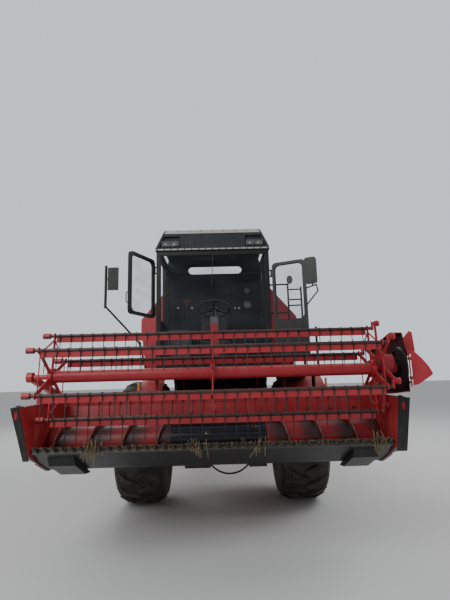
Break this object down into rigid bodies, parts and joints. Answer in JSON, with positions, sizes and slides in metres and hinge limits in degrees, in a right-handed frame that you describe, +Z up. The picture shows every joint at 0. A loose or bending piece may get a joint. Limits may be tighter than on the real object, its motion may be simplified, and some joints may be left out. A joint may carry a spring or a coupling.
{
  "type": "combine harvester",
  "caption": "Small combine harvester with a raised grain header, pick-up reel with steered tines, cab with open doors, grain tank and swinging unloading tube.",
  "frame": {"origin": "on the ground under the middle of the bounding box", "axes": "+Z up, -Y to the front, +X to the machine's left"},
  "size_m": [3.6216, 6.9263, 3.454],
  "materials": {
    "red_paint": "weathered gloss",
    "black_paint": "satin",
    "roof_paint": "satin",
    "bare_steel": "worn",
    "tyre_rubber": "dusty",
    "pane_glass": "clear",
    "seat_fabric": "woven",
    "lamp_lens": "clear",
    "engine_block": "rough"
  },
  "bodies": {
    "chassis": {"chassis_frame": "black_paint", "front_axle": "black_paint", "rear_axle": "black_paint", "thresher_body": "red_paint", "side_drive": "black_paint", "straw_hood": "red_paint", "grain_tank": "red_paint", "engine_hood": "red_paint", "engine": "engine_block", "cab_shell": "black_paint", "cab_roof": "roof_paint", "cab_glass": "pane_glass", "cab_seat": "seat_fabric", "cab_controls": "red_paint", "walkway": "black_paint", "fenders": "red_paint", "mirror_right": "black_paint", "lamps": "lamp_lens"},
    "wheel_front_left": {"tyre_front_left": "tyre_rubber", "rim_front_left": "red_paint"},
    "wheel_front_right": {"tyre_front_right": "tyre_rubber", "rim_front_right": "red_paint"},
    "wheel_rear_left": {"tyre_rear_left": "tyre_rubber", "rim_rear_left": "red_paint"},
    "wheel_rear_right": {"tyre_rear_right": "tyre_rubber", "rim_rear_right": "red_paint"},
    "steer_knuckle_left": {"knuckle_left": "bare_steel"},
    "steer_knuckle_right": {"knuckle_right": "bare_steel"},
    "steer_tie_rod": {"tie_rod": "bare_steel"},
    "cab_door_left": {"door_left": "black_paint", "door_pane": "pane_glass"},
    "cab_window_right": {"window_right": "black_paint", "window_pane": "pane_glass"},
    "unloading_tube": {"unload_tube": "red_paint"},
    "header": {"feeder_house": "red_paint", "header_trough": "red_paint", "cutter_bar": "black_paint", "dividers": "black_paint", "header_hooks": "black_paint", "header_drive": "black_paint"},
    "header_lift_barrels": {"lift_barrels": "black_paint"},
    "header_lift_rods": {"lift_rods": "bare_steel"},
    "intake_auger": {"auger": "black_paint"},
    "reel_carrier": {"reel_arms": "red_paint"},
    "reel_lift_barrels": {"reel_barrels": "black_paint"},
    "reel_lift_rods": {"reel_rods": "bare_steel"},
    "reel": {"reel_core": "red_paint", "reel_pulley": "black_paint"},
    "steering_ring": {"reel_ring": "red_paint"},
    "reel_drive_guard": {"reel_guard": "red_paint"},
    "tine_bat_1": {"bat_1": "red_paint"},
    "tine_bat_2": {"bat_2": "red_paint"},
    "tine_bat_3": {"bat_3": "red_paint"},
    "tine_bat_4": {"bat_4": "red_paint"},
    "tine_bat_5": {"bat_5": "red_paint"},
    "tine_bat_6": {"bat_6": "red_paint"}
  },
  "joints": [
    {"name": "front_left_spin", "type": "hinge", "parent": "chassis", "child": "wheel_front_left", "pos_m": [0.942, -0.887, 0.78965], "axis": [1, 0, 0], "continuous": true},
    {"name": "front_right_spin", "type": "hinge", "parent": "chassis", "child": "wheel_front_right", "pos_m": [-1.108, -0.887, 0.78965], "axis": [1, 0, 0], "continuous": true},
    {"name": "steer_left", "type": "hinge", "parent": "chassis", "child": "steer_knuckle_left", "pos_m": [0.657, 2.263, 0.47825], "axis": [0, 0, 1], "range_deg": [-35, 35]},
    {"name": "steer_right", "type": "hinge", "parent": "chassis", "child": "steer_knuckle_right", "pos_m": [-0.823, 2.263, 0.47825], "axis": [0, 0, 1], "range_deg": [-35.5, 35.5]},
    {"name": "tie_rod_turn", "type": "hinge", "parent": "steer_knuckle_left", "child": "steer_tie_rod", "pos_m": [0.657, 2.428, 0.47825], "axis": [0, 0, 1], "range_deg": [-35.5, 35.5]},
    {"name": "rear_left_spin", "type": "hinge", "parent": "steer_knuckle_left", "child": "wheel_rear_left", "pos_m": [0.847, 2.263, 0.47825], "axis": [1, 0, 0], "continuous": true},
    {"name": "rear_right_spin", "type": "hinge", "parent": "steer_knuckle_right", "child": "wheel_rear_right", "pos_m": [-1.013, 2.263, 0.47825], "axis": [1, 0, 0], "continuous": true},
    {"name": "door_left_hinge", "type": "hinge", "parent": "chassis", "child": "cab_door_left", "pos_m": [0.571, -1.912, 2.3], "axis": [0, 0, 1], "range_deg": [0, 118]},
    {"name": "window_right_hinge", "type": "hinge", "parent": "chassis", "child": "cab_window_right", "pos_m": [-0.859, -1.912, 2.6], "axis": [0, 0, 1], "range_deg": [-156, 0]},
    {"name": "unload_swing", "type": "hinge", "parent": "chassis", "child": "unloading_tube", "pos_m": [1.067, 0.913, 2.15], "axis": [0, 0, -1], "range_deg": [0, 95]},
    {"name": "header_lift", "type": "hinge", "parent": "chassis", "child": "header", "pos_m": [-0.083, -1.217, 1.37], "axis": [-1, 0, 0], "range_deg": [-27.5, 2]},
    {"name": "lift_barrel_swing", "type": "hinge", "parent": "chassis", "child": "header_lift_barrels", "pos_m": [-0.083, -0.887, 0.545], "axis": [-1, 0, 0], "range_deg": [-15.08, 1.1]},
    {"name": "lift_rod_slide", "type": "slide", "parent": "header_lift_barrels", "child": "header_lift_rods", "axis": [0, -0.9718, 0.2357], "range_m": [-0.38352, 0.02789]},
    {"name": "auger_spin", "type": "hinge", "parent": "header", "child": "intake_auger", "pos_m": [-0.152, -2.65703, 1.00047], "axis": [1, 0, 0], "continuous": true},
    {"name": "reel_lift", "type": "hinge", "parent": "header", "child": "reel_carrier", "pos_m": [-0.152, -2.19196, 1.40145], "axis": [-1, 0, 0], "range_deg": [0, 20]},
    {"name": "reel_barrel_swing", "type": "hinge", "parent": "header", "child": "reel_lift_barrels", "pos_m": [-0.152, -2.4475, 1.18005], "axis": [-1, 0, 0], "range_deg": [0, 13.57]},
    {"name": "reel_rod_slide", "type": "slide", "parent": "reel_lift_barrels", "child": "reel_lift_rods", "axis": [0, -0.3777, 0.9259], "range_m": [0, 0.11219]},
    {"name": "reel_spin", "type": "hinge", "parent": "reel_carrier", "child": "reel", "pos_m": [-0.152, -3.095, 1.637], "axis": [1, 0, 0], "continuous": true},
    {"name": "bat_1_turn", "type": "hinge", "parent": "reel", "child": "tine_bat_1", "pos_m": [-0.152, -2.75467, 1.79209], "axis": [1, 0, 0], "continuous": true},
    {"name": "bat_2_turn", "type": "hinge", "parent": "reel", "child": "tine_bat_2", "pos_m": [-0.152, -3.05915, 2.00928], "axis": [1, 0, 0], "continuous": true},
    {"name": "bat_3_turn", "type": "hinge", "parent": "reel", "child": "tine_bat_3", "pos_m": [-0.152, -3.39948, 1.85418], "axis": [1, 0, 0], "continuous": true},
    {"name": "bat_4_turn", "type": "hinge", "parent": "reel", "child": "tine_bat_4", "pos_m": [-0.152, -3.43533, 1.48191], "axis": [1, 0, 0], "continuous": true},
    {"name": "bat_5_turn", "type": "hinge", "parent": "reel", "child": "tine_bat_5", "pos_m": [-0.152, -3.13085, 1.26472], "axis": [1, 0, 0], "continuous": true},
    {"name": "bat_6_turn", "type": "hinge", "parent": "reel", "child": "tine_bat_6", "pos_m": [-0.152, -2.79052, 1.41982], "axis": [1, 0, 0], "continuous": true},
    {"name": "steering_ring_spin", "type": "hinge", "parent": "reel_carrier", "child": "steering_ring", "pos_m": [-0.152, -3.095, 1.682], "axis": [1, 0, 0], "continuous": true},
    {"name": "reel_guard_hinge", "type": "hinge", "parent": "reel_carrier", "child": "reel_drive_guard", "pos_m": [1.6, -3.205, 1.63], "axis": [0, 0, 1], "range_deg": [-74, 0]}
  ],
  "couplings": [
    {"joint": "steer_right", "follows": "steer_left", "ratio": 1},
    {"joint": "tie_rod_turn", "follows": "steer_left", "ratio": -1},
    {"joint": "lift_barrel_swing", "follows": "header_lift", "ratio": 0.52714},
    {"joint": "lift_rod_slide", "follows": "header_lift", "m_per_rad": 0.76832},
    {"joint": "reel_barrel_swing", "follows": "reel_lift", "ratio": 0.65258},
    {"joint": "reel_rod_slide", "follows": "reel_lift", "m_per_rad": 0.30903},
    {"joint": "bat_1_turn", "follows": "reel_spin", "ratio": -1},
    {"joint": "bat_2_turn", "follows": "reel_spin", "ratio": -1},
    {"joint": "bat_3_turn", "follows": "reel_spin", "ratio": -1},
    {"joint": "bat_4_turn", "follows": "reel_spin", "ratio": -1},
    {"joint": "bat_5_turn", "follows": "reel_spin", "ratio": -1},
    {"joint": "bat_6_turn", "follows": "reel_spin", "ratio": -1},
    {"joint": "steering_ring_spin", "follows": "reel_spin", "ratio": 1}
  ]
}
